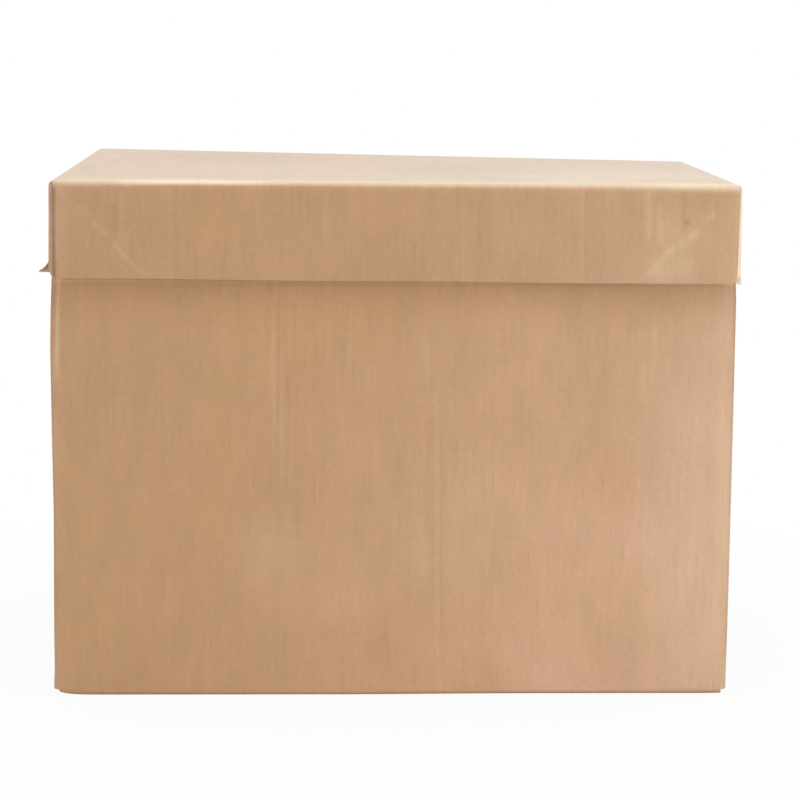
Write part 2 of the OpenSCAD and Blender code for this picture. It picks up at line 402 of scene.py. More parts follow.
def makeBase():
    halfW, halfD, rim = base["halfWidth"], base["halfDepth"], base["rim"]
    t, inR, steps = board["thickness"], board["foldInside"], base["foldSteps"]
    lapY = halfD - t - base["glue"]
    side = halfW - foldOutside
    end = halfD - foldOutside
    flapHalf = halfD - t - base["slotEnd"]
    parts, stops = [], {}
    stops["backStart"] = addStrip(parts, (halfW - base["rawEnd"], halfD), (side, halfD),
                                  (halfW - base["rawEnd"], halfD - t), (side, halfD - t))
    stops["backEnd"] = addStrip(parts, (side, halfD), (-side, halfD), (side, halfD - t), (-side, halfD - t),
                                step=board["flutePitch"])
    addFold(parts, (-side, end), 90, foldOutside, (inR, inR), steps)
    stops["leftStart"] = addStrip(parts, (-halfW, end), (-halfW, flapHalf),
                                  (t - halfW, end), (t - halfW, flapHalf))
    stops["leftEnd"] = addStrip(parts, (-halfW, flapHalf), (-halfW, -flapHalf),
                                (t - halfW, flapHalf), (t - halfW, -flapHalf))
    addStrip(parts, (-halfW, -flapHalf), (-halfW, -end), (t - halfW, -flapHalf), (t - halfW, -end))
    stops["frontStart"] = addFold(parts, (-side, -end), 180, foldOutside, (inR, inR), steps)
    stops["frontEnd"] = addStrip(parts, (-side, -halfD), (side, -halfD),
                                 (-side, t - halfD), (side, t - halfD))
    addFold(parts, (side, -end), 270, foldOutside, (inR, inR), steps)
    stops["rightStart"] = addStrip(parts, (halfW, -end), (halfW, -flapHalf),
                                   (halfW - t, -end), (halfW - t, -flapHalf))
    foldY = lapY - foldOutside
    addStrip(parts, (halfW, -flapHalf), (halfW, foldY), (halfW - t, -flapHalf), (halfW - t, foldY))
    crushed = foldOutside - base["lapThickness"]
    addFold(parts, (side, foldY), 0, foldOutside, (inR, crushed), steps)
    path = np.concatenate(parts)
    keep = np.concatenate(([True], np.abs(np.diff(path, axis=0)).max(1) > 1e-6))
    order = np.cumsum(keep) - 1
    path = path[keep]
    stops = {name: order[stop] for name, stop in stops.items()}
    middle = (path[:, :2] + path[:, 2:]) / 2
    run = np.concatenate(([0], np.cumsum(np.hypot(*np.diff(middle, axis=0).T))))
    formed = np.where(path[:, 1] < halfD - 0.1, 1.0, 0.0)[:, None]  # the back's flutes are only bump

    sheet = BoardSheet()

    def upright(first, last, heights, openSides=()):
        cols, z = path[first:last + 1], np.array(heights, float)
        outer = np.empty((len(cols), len(z), 3))
        inner = np.empty_like(outer)
        outer[..., :2], inner[..., :2] = cols[:, None, :2], cols[:, None, 2:]
        outer[..., 2] = inner[..., 2] = z
        flat = joined(run[first:last + 1, None], z)
        sheet.patch(outer, inner, flat, formed=formed[first:last + 1], openSides=openSides)

    innerFold = t + foldOutside     # the side walls' folds lie on the outer flaps
    lapLow, lapHigh = 2 * t + base["lapDrop"], rim - base["lapDrop"]
    heights = [innerFold, lapLow, 16, 21, 27, 35, *evenly(46, skirtEdge - 14, 15),
               *(skirtEdge + step for step in (-7, -3.5, -1.2, 1.2, 3.5, 7)),
               *evenly(skirtEdge + 15, lapHigh - 8, 26), lapHigh, rim]
    last = len(path) - 1
    upright(0, last, heights, openSides=("high",))
    lowRows = [foldOutside, (foldOutside + innerFold) / 2, innerFold]
    for first, stop in ((0, stops["leftStart"]), (stops["leftEnd"], stops["rightStart"])):
        upright(first, stop, lowRows)
    joint = int(np.argmin(np.abs(path[:, 1] - flapHalf) + 1000 * (path[:, 0] < halfW - 1)
                          + 1000 * (path[:, 1] < 0)))
    upright(joint, last, lowRows)

    # A wall's fold and the flap that it leads to. Inwards is the way from the wall to the middle.
    def flap(first, stop, foot, inwards, reach):
        cols = path[first:stop + 1]
        turn = np.radians(np.linspace(0, 90, base["foldSteps"] + 1))
        along = np.array([*base["flapRows"], reach])
        outerIn = np.concatenate((foldOutside * (1 - np.cos(turn)), along))
        innerIn = np.concatenate((foldOutside - inR * np.cos(turn), along)) - t
        outerZ = np.concatenate((foot + foldOutside * (1 - np.sin(turn)), np.full(len(along), foot)))
        innerZ = np.concatenate((foot + foldOutside - inR * np.sin(turn), np.full(len(along), foot + t)))
        outer = np.empty((len(cols), len(outerIn), 3))
        inner = np.empty_like(outer)
        inwards = np.array(inwards)
        outer[..., :2] = cols[:, None, :2] + outerIn[:, None] * inwards
        inner[..., :2] = cols[:, None, 2:] + innerIn[:, None] * inwards
        outer[..., 2], inner[..., 2] = outerZ, innerZ
        walked = np.concatenate((turn * (foldOutside + inR) / 2, along - foldOutside + t))
        flat = joined(run[first:stop + 1, None], foot + foldOutside - walked)
        sheet.patch(outer, inner, flat, formed=formed[first:stop + 1], openSides=("high",))

    reach = halfD - base["flapGap"] / 2
    flap(stops["frontStart"], stops["frontEnd"], 0, (0, 1), reach)
    flap(stops["backStart"], stops["backEnd"], 0, (0, -1), reach)
    flap(stops["leftStart"], stops["leftEnd"], t, (1, 0), reach)
    flap(stops["rightStart"], joint, t, (-1, 0), reach)

    # The lap tapers towards its free edge
    rows = np.array([z for z in heights if lapLow <= z <= lapHigh])
    out = evenly(0, base["lapWidth"], 3)
    taper = out / 3
    share = (rows - lapLow) / (lapHigh - lapLow)
    z = lapLow + taper[:, None] + share * (lapHigh - lapLow - 2 * taper[:, None])
    outer = joined(side - out[:, None], lapY, z)
    inner = joined(side - out[:, None], lapY - base["lapThickness"], z)
    flat = joined(run[-1] + out[:, None], z)
    sheet.patch(outer, inner, flat)

    folds = [run[np.argmin(np.hypot(path[:, 0] - sx * halfW, path[:, 1] - sy * halfD))]
             for sx, sy in ((-1, 1), (-1, -1), (1, -1))] + [run[-1] - 3]

    def wearOf(flat):
        wear = np.zeros(len(flat))
        for fold in folds:
            wear = np.maximum(wear, bell(flat[:, 0], fold, 4.5))
        return np.maximum(0.15 * wear, 0.6 * bell(flat[:, 1], rim, 3))

    return sheet.build("base_board", bendBase, wearOf), sheet


# Lid: top panel, skirts, and at each corner the sheet's corner square folded in two behind the front skirt
lid = {
    "halfWidth": lidHigh[0],
    "halfDepth": lidHigh[1],
    "top": lidTop,
    "edge": skirtEdge,
    "web": 2.2,             # one crushed layer of the folded corner
    "rows": 34,             # grid rows of a skirt
    "foldSteps": 7,
    "lift": 3.4,            # the lid isn't pressed fully home
    "twist": 4.6,           # the back left corner stands up, the back right one hangs
    "leftIn": 0.5,          # the left skirt leans on the base
    "leftEdgeUp": 5,        # the left skirt's cut edge, at its front end
    "frontEdge": (0.5, -0.7, -1.7),     # rise of the front skirt's cut edge: left, middle and right
    "leftBow": 1,           # the left skirt bows out at its cut edge
    "crushed": 1.4,         # and its board is crushed from inside near its front end
    "rightEdgeDown": 1.7,   # the right skirt's corner hangs down to a point
    "notch": 5,             # behind that point the cut edge is torn away
    "pressedOut": 0.8,      # how far the folded corners press the skirts out
    "crisp": 0.95,          # under 1 the top folds are squarer than round
    "rolledAt": (-250, -190, -60, 100, 200, 290),
    "rolled": (1.5, -0.5, 0, 0.8, 1.8, 3.8),    # how far under the front's top fold the painted highlight reaches, by X
    "cornerUp": 2.6,        # the front skirt's lower right corner is worn away
    "leftEndIn": 1.2,       # the front skirt's left end stops short of the side skirt
    "endFrom": 240,         # X from which the front skirt's right end is pulled
    "endOut": 1.4,          # outwards at the top
    "pulledIn": 1.4,        # and inwards towards its cut edge
    "flare": 1.4,           # the right skirt's hanging corner stands off the base
    "sag": (1.4, 0.5),      # how far the top hangs in its middle, and how far it waves
    "ridge": 0.35,          # how far the slanting folds show in the back skirt
    "topPale": 0.22,        # the top panel is painted paler than the skirts: a painted sheen of its grazing light
    "valley": (0.22, 0.26),     # how dark the gap at the left end is painted, as painted shade, on the side skirt and on the front
    "stripPale": 0.5,       # painted glare: the side skirt's edge at the right end is painted near white
    "layerSteps": 18,       # grid columns across a folded layer
}


# Marks on the front skirt, given as on the base. The slanting strokes are where the folded corners inside
# press through. Their light and dark tones paint the highlight and shade of that relief and of the other
# creases; the wide soft ones make broad paler patches.
lidMarks = [
    markLine((-285, 434), (-278, 428.5), 2.2, 0.025, 0.2),
    markLine((-270, 421.5), (-256, 411.5), 2.1, 0.03, 0.3),
    markLine((-255.5, 410), (-250, 401.5), 2.1, 0.045, 0.35),
    markLine((-250, 401.5), (-241.5, 396), 2.1, 0.05, 0.35),
    markLine((-237.5, 391), (-229, 378), 2, 0.055, 0.35),
    markLine((-229, 378.5), (-212.5, 362), 2, 0.035, 0.3),
    markLine((-231.5, 377), (-215.5, 360.5), 1.9, -0.04, -0.15),
    markLine((-253.5, 400), (-243, 392), 2.2, -0.025, -0.1),
    markLine((-246, 440), (-245.5, 425), 2, 0.03, 0.1),
    markLine((-239, 438), (-238, 424), 2, 0.035, 0.12),
    markLine((-232, 432), (-232, 392), 2.2, 0.035, 0.12),
    markLine((-235.5, 425), (-235.5, 396), 1.8, -0.025, -0.08),
    markLine((-282, 440), (-282, 362), 6, 0.02),
    markLine((-191, 440), (-190, 362), 3, 0.02, 0.08),
    markLine((-187, 440), (-186.5, 362), 2, -0.02, -0.05),
    markLine((269.5, 419), (259.5, 412.5), 3.4, 0.06, 0.25),
    markLine((255, 404.5), (245.5, 395.5), 3.4, 0.065, 0.35),
    markLine((244, 395), (230, 386), 3, 0.055, 0.3),
    markLine((231, 387), (209, 363), 3.4, 0.05, 0.3),
    markLine((212, 368), (252, 374), 15, 0.055, fade=16),
    markLine((225, 402), (262, 398), 14, 0.03, fade=20),
    markLine((242.3, 441), (243.2, 402), 1.8, -0.06, -0.2),
    markLine((245.3, 413), (246, 409), 1.8, -0.12, -0.2),
    markLine((159.3, 441), (160.5, 364), 1.6, -0.025, -0.1),
    markLine((156.3, 441), (157.5, 364), 1.8, 0.03, 0.08),
    markLine((212.5, 441), (213.5, 396), 2.8, 0.07, 0.12),
    markLine((222, 425), (222.8, 392), 2.6, 0.05, 0.12),
    markLine((90, 441), (90, 364), 10, 0.012),
    markLine((-60, 441), (-60.5, 390), 2.2, 0.02, 0.1),
    markLine((70, 430), (71, 364), 1.8, -0.025, -0.1),
]
# Painted highlights on the top panel, given as X and Y: paler bands near the front fold and at the right, and
# one darker patch at the back
topMarks = [
    markLine((-285, -186), (296, -190), 32, 0.1, fade=30),
    markLine((-225, -190), (-120, -192), 20, 0.26, fade=70),
    markLine((215, -188), (292, -190), 22, 0.14, fade=60),
    markLine((110, -110), (290, -40), 80, 0.09, fade=80),
    markLine((-230, 110), (-80, 150), 60, -0.045, fade=80),
]


def makeLid():
    t, w, inR = board["thickness"], lid["web"], board["foldInside"]
    inHalfW, halfD = lid["halfWidth"] - t, lid["halfDepth"]
    ceiling = lid["top"] - t
    start = ceiling - inR           # the top folds begin here
    hairpin = (t + w) / 2
    panelW, panelD = lid["halfWidth"] - foldOutside, halfD - foldOutside
    sideStart = halfD - 2 * w - t - w + 0.1
    frontX = evenly(hairpin - inHalfW, inHalfW - hairpin, columnStep)
    sideY = evenly(-sideStart, sideStart, 2 * board["flutePitch"])
    sideY = np.unique(np.concatenate((sideY, -sideStart + np.array([1.5, 3, 5, 8, 12]))))
    turn = np.radians(np.linspace(0, 90, lid["foldSteps"] + 1))
    sheet = BoardSheet()
    share = np.linspace(0, 1, lid["rows"] + 1)

    def heightsFor(edge):
        edge = np.asarray(edge, float)
        return edge[..., None] + (start - edge[..., None]) * share

    def edgeAt(sx, y):
        behind = y + sideStart
        if sx < 0:
            return lid["edge"] + lid["leftEdgeUp"] * (1 - behind / (2 * sideStart)) ** 2
        point = np.exp(-behind / 3)
        return lid["edge"] - lid["rightEdgeDown"] * point + lid["notch"] * (1 - point) * np.exp(-behind / 45)

    # Rolls the columns' top ends over into the panel
    def roll(outerXY, innerXY, target, flatStart, flatEnd, formed):
        outer = np.empty((len(outerXY), len(turn), 3))
        inner = np.empty_like(outer)
        shrink = (np.cos(turn).clip(0, 1) ** lid["crisp"])[:, None]
        outer[..., :2] = target[:, None] + (outerXY - target)[:, None] * shrink
        inner[..., :2] = target[:, None] + (innerXY - target)[:, None] * shrink
        outer[..., 2] = start + foldOutside * np.sin(turn) ** lid["crisp"]
        inner[..., 2] = start + inR * np.sin(turn)
        part = (turn / turn[-1])[:, None]
        flat = flatStart[:, None] + (flatEnd - flatStart)[:, None] * part
        sheet.patch(outer, inner, flat, formed=formed)

    # Front and back skirts
    for sy in (-1, 1):
        z = heightsFor(np.full(len(frontX), lid["edge"]))
        outer = joined(frontX[:, None], sy * halfD, z)
        inner = joined(frontX[:, None], sy * (halfD - t + 0.05), z)
        flat = joined(frontX[:, None], sy * (halfD + ceiling - z))
        sheet.patch(outer, inner, flat, openSides=("low",))
        roll(outer[:, -1, :2], inner[:, -1, :2], joined(frontX, sy * panelD),
             flat[:, -1], joined(frontX, sy * panelD), 1.0)

    # Side skirts
    for sx in (-1, 1):
        z = heightsFor(edgeAt(sx, sideY))
        outer = joined(sx * (inHalfW + t), sideY[:, None], z)
        inner = joined(sx * inHalfW, sideY[:, None], z)
        flat = joined(sx * (inHalfW + t + ceiling - z), sideY[:, None])
        sheet.patch(outer, inner, flat, formed=0.0)
        target = joined(sx * panelW, sideY)
        roll(outer[:, -1, :2], inner[:, -1, :2], target, flat[:, -1], target, 0.0)

    # Corners: a runs inwards from the side skirt's inner face, b inwards from the front skirt's outer face
    def corner(sx, sy):
        columns = []        # outer a, outer b, inner a, inner b, flat X, flat Y, edge height
        half = np.radians(np.linspace(-90, 90, 7))
        z = heightsFor(lid["edge"])
        fold = np.maximum(t + ceiling - z, hairpin + w + 0.3)    # the slanting fold at each height
        depth = ceiling - z
        cornerEdge = edgeAt(sx, sy * sideStart)
        flatAcross = inHalfW - hairpin
        for angle in half:
            columns.append([hairpin - hairpin * np.cos(angle), hairpin + hairpin * np.sin(angle),
                            hairpin - 0.075 * np.cos(angle), t + 0.025 + 0.075 * np.sin(angle),
                            flatAcross + 1.6 * (angle - half[0]), halfD + depth, z])
        flatAcross += 1.6 * math.pi
        inner2, layer2, layer1, inner1 = t + 0.1, t + w - 0.05, t + w + 0.05, t + 2 * w - 0.05
        for part in np.linspace(0, 1, lid["layerSteps"] + 1)[1:]:
            a = hairpin + part * (fold - w + 0.1 - hairpin)
            columns.append([a, layer2, a, inner2, flatAcross + a - hairpin, halfD + depth, z])
        turnMiddle = fold - w + 0.1
        flat2 = flatAcross + turnMiddle - hairpin, halfD + depth
        foldRun = 3.5       # flat length of the side skirt's own fold
        flat1 = inHalfW + t + depth, sideStart + foldRun + turnMiddle
        bend = (inner1 - inner2) / 2
        for angle in np.radians(np.linspace(-90, 90, 6))[1:]:
            part = (angle / math.pi) + 0.5
            between = [two + part * (one - two) for one, two in zip(flat1, flat2)]
            columns.append([turnMiddle + 0.05 * np.cos(angle), t + w + 0.05 * np.sin(angle),
                            turnMiddle + bend * np.cos(angle), (inner1 + inner2) / 2 + bend * np.sin(angle),
                            *between, z])
        for part in np.linspace(0, 1, lid["layerSteps"] + 1)[1:]:
            a = turnMiddle + part * (inR - turnMiddle)
            columns.append([a, layer1, a, inner1, flat1[0], sideStart + foldRun + a, z])
        pivot = inR, halfD - sideStart
        foldFirst = len(columns)        # here the side skirt's own fold begins
        for part in np.linspace(0, 1, 6)[1:]:
            angle = -math.pi / 2 * (1 + part)
            torn = lid["notch"] * math.sin(math.pi * part) ** 0.7 if sx > 0 > sy else 0
            zHere = heightsFor(lid["edge"] + (cornerEdge - lid["edge"]) * min(1, 1.7 * part) + torn)
            thin = 2.35 + (inR - 2.35) * part
            columns.append([pivot[0] + foldOutside * np.cos(angle), pivot[1] + foldOutside * np.sin(angle),
                            pivot[0] + thin * np.cos(angle), pivot[1] + thin * np.sin(angle),
                            inHalfW + t + ceiling - zHere, sideStart + foldRun * (1 - part), zHere])
        grid = np.array([[np.broadcast_to(value, z.shape) for value in column] for column in columns])
        outerA, outerB, innerA, innerB, flatX, flatY, high = grid.transpose(1, 0, 2)
        outer = np.stack((sx * (inHalfW - outerA), sy * (halfD - outerB), high), -1)
        inner = np.stack((sx * (inHalfW - innerA), sy * (halfD - innerB), high), -1)
        flat = np.stack((sx * flatX, sy * flatY), -1)
        open2 = len(half) + lid["layerSteps"]       # the lines that are seen from below end here
        sheet.patch(outer[:open2], inner[:open2], flat[:open2], formed=0.0, openSides=("low",))
        sheet.patch(outer[open2 - 1:], inner[open2 - 1:], flat[open2 - 1:], formed=0.0)
        # the top fold runs round the corner over half the hairpin and the side skirt's own fold
        pick = [0, 1, 2, 3] + list(range(foldFirst - 1, len(columns)))
        targets = [(panelW - (hairpin + t - foldOutside) * (1 - k / 3), panelD) for k in range(4)]
        targets += [(panelW, panelD + (sideStart - panelD) * part) for part in np.linspace(0, 1, 6)]
        targets = np.array(targets) * (sx, sy)
        roll(outer[pick, -1, :2], inner[pick, -1, :2], targets, flat[pick, -1], targets, 0.0)
        return targets

    for sx in (-1, 1):
        for sy in (-1, 1):
            targets = corner(sx, sy)
    panelX = np.unique(np.round(np.concatenate((frontX, targets[:4, 0], -targets[:4, 0])), 6))
    panelY = np.unique(np.round(np.concatenate((sideY, targets[4:, 1], -targets[4:, 1])), 6))
    outer = joined(panelX[:, None], panelY, lid["top"])
    inner = joined(panelX[:, None], panelY, ceiling)
    sheet.patch(outer, inner, outer[..., :2])

    def bendLid(outer, inner, flat):
        def move(p):
            x, y, z = p.T
            up = np.clip((z - lid["edge"]) / (lid["top"] - lid["edge"]), 0, 1)
            shareX, shareY = x / lid["halfWidth"], y / lid["halfDepth"]
            lift = lid["lift"] - lid["twist"] * shareX * (shareY + 1) / 2 * up
            sag = np.cos(np.clip(shareX, -1, 1) * math.pi / 2) * np.cos(np.clip(shareY, -1, 1) * math.pi / 2)
            hang = -lid["sag"][0] + lid["sag"][1] * np.sin(x / 55 + 1) * np.sin(y / 48)
            lift += ease(z, ceiling - 1, ceiling) * sag * hang
            lift += 0.25 * np.sin(x / 38 + 0.6) * (1 - up)
            rise = np.interp(x, (-inHalfW, 0, inHalfW), lid["frontEdge"])
            lift += rise * (1 - up) * ease(-y, 0, 150)
            atCorner = ease(x, inHalfW - 7, inHalfW - 1) * ease(-y, halfD - 9, halfD - 7)
            lift += lid["cornerUp"] * atCorner * (1 - up) ** 4
            bow = 0.5 * np.cos(np.clip(shareX, -1, 1) * math.pi / 2) * np.sin(up * math.pi)
            onFront, onBack = ease(-y, halfD - 5, halfD - 4), ease(y, halfD - 5, halfD - 4)
            fromEnd = inHalfW - np.abs(x)
            slant = fromEnd - (ceiling - z)      # the slanting fold lies at 0
            gusset = lid["pressedOut"] * (1 - ease(slant, -3, 4)) * ease(fromEnd, 0, 14) * ease(up, 0, 0.1)
            gusset *= 1 - 0.5 * ease(up, 0.8, 1)
            moveY = (onBack - onFront) * (gusset + bow) * (1 - ease(up, 0.93, 0.99))
            atFront = ease(-y, halfD - 6.5, halfD - 6)
            moveX = (lid["endOut"] - lid["pulledIn"] * (1 - up) ** 1.3) * atFront
            moveX *= ease(x, lid["endFrom"], inHalfW - 2)
            hanging = 1 - ease(z, lid["edge"] - 6, lid["edge"] + 9)
            hanging *= 1 - ease(y, -sideStart, 40 - sideStart)
            moveX += lid["flare"] * ease(x, inHalfW - 2, inHalfW) * hanging * (1 - atFront)
            moveX -= lid["leftBow"] * (1 - up) ** 1.5 * ease(-x, inHalfW - 3, inHalfW) * (1 - atFront)
            moveX += lid["leftIn"] * ease(-x, inHalfW - 3, inHalfW)
            moveX += lid["leftEndIn"] * atFront * ease(-x, inHalfW - 14, inHalfW - 2) * (1 - ease(up, 0.9, 1))
            return p + np.stack((moveX, moveY, lift), 1)

        placedOuter, placedInner = move(outer), move(inner)
        soft = (inner[:, 0] < -inHalfW + 0.1) * (1 - ease(inner[:, 1], -130, 0))
        soft *= 1 - ease(inner[:, 2], lid["edge"] + 12, lid["edge"] + 26)
        placedInner[:, 0] -= lid["crushed"] * soft
        normal = placedOuter - placedInner
        normal /= np.linalg.norm(normal, axis=1, keepdims=True)
        x, y, z = outer.T
        relief = board["ripple"] * np.sin(flat[:, 0] * 2 * math.pi / board["flutePitch"])
        relief *= (np.abs(x) < inHalfW - hairpin + 0.1) & ((z > start) | (np.abs(y) > halfD - 0.1))
        onSkirt = (np.abs(y) > halfD - 0.1) & (z <= start)
        slant = inHalfW - np.abs(x) - (ceiling - z)
        relief += onSkirt * lid["ridge"] * bell(slant, 0, 2.6) * (y > 0)
        tone = np.zeros_like(x)
        for mark in lidMarks:
            share = onSkirt * (y < 0) * onMark(mark, x, z)
            relief += share * mark["out"]
            tone += share * mark["tone"]
        # Painted highlight and sheen on the top, running down over the front's top fold
        onTop = ease(z, lid["top"] - 1.8, lid["top"])
        rolled = ease(z, start - np.interp(x, lid["rolledAt"], lid["rolled"]), lid["top"])
        onTop = np.where(y < -panelD, 0.85 * rolled ** 1.6, onTop)
        for mark in topMarks:
            tone += onTop * onMark(mark, x, y) * mark["tone"]
        # Painted shade in the gap at the left end, and a little over the left side skirt
        onFold = (y < -sideStart + 1) & (z < start) & (y > -halfD + 2 * w)
        onSide, onEnd = lid["valley"]
        tone -= onFold * (onSide * bell(x, -inHalfW + 0.8, 1.4) + 0.015 * (x < -inHalfW))
        tone -= onEnd * (y < -halfD + 2 * w) * (z < start) * bell(x, -inHalfW + 0.8, 1.6)
        # Painted glare on the side skirt's edge at the right end
        onRight = (y < -sideStart + 1) & (y > -halfD + 2 * w)
        tone += lid["stripPale"] * onRight * ease(x, inHalfW - 4, inHalfW - 1)
        # Painted sheen: the whole top is paler
        tone += lid["topPale"] * onTop
        placedOuter += normal * relief[:, None]
        return placedOuter, placedInner, tone

    def wearOf(flat):
        x, y = np.abs(flat[:, 0]), np.abs(flat[:, 1])
        wear = 0.15 * bell(y, panelD + 3.5, 3) * (x < inHalfW + 1)
        wear = np.maximum(wear, 0.6 * bell(x, panelW + 3.5, 3) * (y < halfD - 8))
        wear = np.maximum(wear, 0.5 * bell(x, inHalfW - 0.5, 2.6) * (y > halfD))
        wear = np.maximum(wear, 0.3 * bell(y, sideStart + 1.5, 2.6) * (x > inHalfW + t))
        return wear

    return sheet.build("lid_board", bendLid, wearOf), sheet


# Torn tab: the outer part of the left skirt's front corner, peeled out and curled
tab = {
    "length": 14,           # along the skirt
    "out": 8.2,             # how far its front end stands out
    "top": 374.5,           # height at which it leaves the skirt, before the lid's lift
    "tip": 365.6,           # height of its outer edge
    "bottom": 364.4,        # height of its lower face
    "behind": 10.7,         # from the lid's front face to the tab
    "root": 0.6,            # how far it reaches into the skirt
    "ragged": 0.9,          # how uneven its outer edge is
    "crumpled": (0.25, 0.3, 0.35),      # along the skirt, up, and in its lower face
    "grid": (15, 9),        # points along the skirt and outwards
    "seed": 4,
}


def makeTab():
    chance = np.random.default_rng(tab["seed"])
    rows, steps = tab["grid"]
    sideways, upwards, below = tab["crumpled"]
    along, out = np.linspace(0, 1, rows)[:, None], np.linspace(0, 1, steps)
    ragged = chance.uniform(-1, 1, (rows, 1)) * tab["ragged"] * (0.3 + along)
    reach = tab["out"] * (1 - 0.8 * along ** 1.4) + ragged
    x = -lid["halfWidth"] + tab["root"] - (reach + tab["root"]) * out
    y = -(lid["halfDepth"] - tab["behind"]) + along * tab["length"] + 0 * out
    y += chance.uniform(-1, 1, (rows, steps)) * sideways * out
    drop = (tab["top"] - tab["tip"]) * (1 - 0.25 * along)
    z = tab["top"] + lid["lift"] - drop * (1 - (1 - out) ** 1.7)
    z += chance.uniform(-1, 1, (rows, steps)) * upwards * out
    upper = np.stack((x, y, z), -1)
    floor = tab["bottom"] + lid["lift"] + chance.uniform(-1, 1, (rows, steps)) * below
    lower = np.stack((x, y, np.minimum(floor, z - 0.6)), -1)
    ids = np.arange(rows * steps).reshape(rows, steps)
    quads = np.stack((ids[:-1, :-1], ids[:-1, 1:], ids[1:, 1:], ids[1:, :-1]), -1).reshape(-1, 4)
    underside = (quads + ids.size)[:, ::-1]
    rim = np.concatenate((ids[0], ids[1:, -1], ids[-1, -2::-1], ids[-2:0:-1, 0]))
    ring = [[a, a + ids.size, b + ids.size, b] for a, b in zip(rim.tolist(), np.roll(rim, -1).tolist())]
    faces = [face[::-1] for face in quads.tolist() + underside.tolist()] + ring
    count = 2 * ids.size
    flat = np.tile(np.stack((along * tab["length"] + 0 * out, reach * out), -1).reshape(-1, 2), (2, 1))
    edge = (0 * along + out).ravel()
    # The tab's upper face is painted dark as painted shade, turning pale at its outer edge; the lower face is
    # pale
    values = {"wear": np.zeros(count), "cut": np.concatenate((0.2 + 0.3 * edge, np.full(ids.size, 0.85))),
              "inside": np.full(count, 0.5), "formed": np.ones(count),
              "tone": np.concatenate((-0.4 + 0.8 * edge ** 5, np.full(ids.size, 0.2)))}
    places = np.concatenate((upper.reshape(-1, 3), lower.reshape(-1, 3)))
    return makeMesh("lid_torn_tab", places * mm, faces, flat * mm, values)


baseBoard, baseSheet = makeBase()
print("base sheet:", len(baseBoard.data.polygons), "faces")
lidBoard, lidSheet = makeLid()
print("lid sheet:", len(lidBoard.data.polygons), "faces")
tornTab = makeTab()
print("torn tab:", len(tornTab.data.polygons), "faces")

for piece, body, slot in ((baseBoard, "base", "base_board"), (lidBoard, "lid", "lid_board")):
    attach(piece, body)
    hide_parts(body)
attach(tornTab, "lid")


class Wire:
    # A socket that can stand in a Python expression
    def __init__(self, maker, socket):
        self.maker, self.socket = maker, socket

    def __add__(self, other):
        return self.maker.math("ADD", self, other)

    def __sub__(self, other):
        return self.maker.math("SUBTRACT", self, other)

    def __rsub__(self, other):
        return self.maker.math("SUBTRACT", other, self)

    def __mul__(self, other):
        return self.maker.math("MULTIPLY", self, other)

    def __truediv__(self, other):
        return self.maker.math("DIVIDE", self, other)

    __radd__, __rmul__ = __add__, __mul__


class TreeMaker:
    # Adds nodes to one tree: the type, then its settings, then the values or wires of its sockets
    def __init__(self, tree):
        self.tree = tree

    def node(self, kind, settings=None, inputs=None):
        node = self.tree.nodes.new(kind)
        for key, value in (settings or {}).items():
            setattr(node, key, value)
        for key, value in (inputs or {}).items():
            if isinstance(value, Wire):
                self.tree.links.new(value.socket, node.inputs[key])
            else:
                node.inputs[key].default_value = value
        return node

    def wire(self, kind, settings=None, inputs=None, output=0):
        return Wire(self, self.node(kind, settings, inputs).outputs[output])

    def math(self, operation, *values):
        return self.wire("ShaderNodeMath", {"operation": operation}, dict(enumerate(values)))

    def mix(self, factor, first, second):
        return self.wire("ShaderNodeMix", {"data_type": "RGBA", "clamp_factor": True},
                         {0: factor, 6: first, 7: second}, output=2)

    def remap(self, value, low, high, newLow=0.0, newHigh=1.0, kind="SMOOTHSTEP"):
        return self.wire("ShaderNodeMapRange", {"interpolation_type": kind},
                         {0: value, 1: low, 2: high, 3: newLow, 4: newHigh})

    def noise(self, vector, scale, detail=2.0, roughness=0.5):
        return self.wire("ShaderNodeTexNoise", {"noise_dimensions": "3D"},
                         {"Vector": vector, "Scale": scale, "Detail": detail, "Roughness": roughness})

    def vector(self, x, y, z):
        return self.wire("ShaderNodeCombineXYZ", None, {0: x, 1: y, 2: z})


def newMaterial(name):
    material = bpy.data.materials.new(name)
    material.use_nodes = True
    material.node_tree.nodes.clear()
    return material, TreeMaker(material.node_tree)


# Fluting: the wavy paper between the liners, seen at the cut edges that cross it
flutes = {
    "stepsPerFlute": 10,
    "depth": 2.3,           # how far in it is modelled
    "setBack": 0.25,        # from the cut edge
    "colour": (0.40, 0.245, 0.135, 1),
    "shade": (0.30, 0.18, 0.1, 1),
    "roughness": 0.7,
}


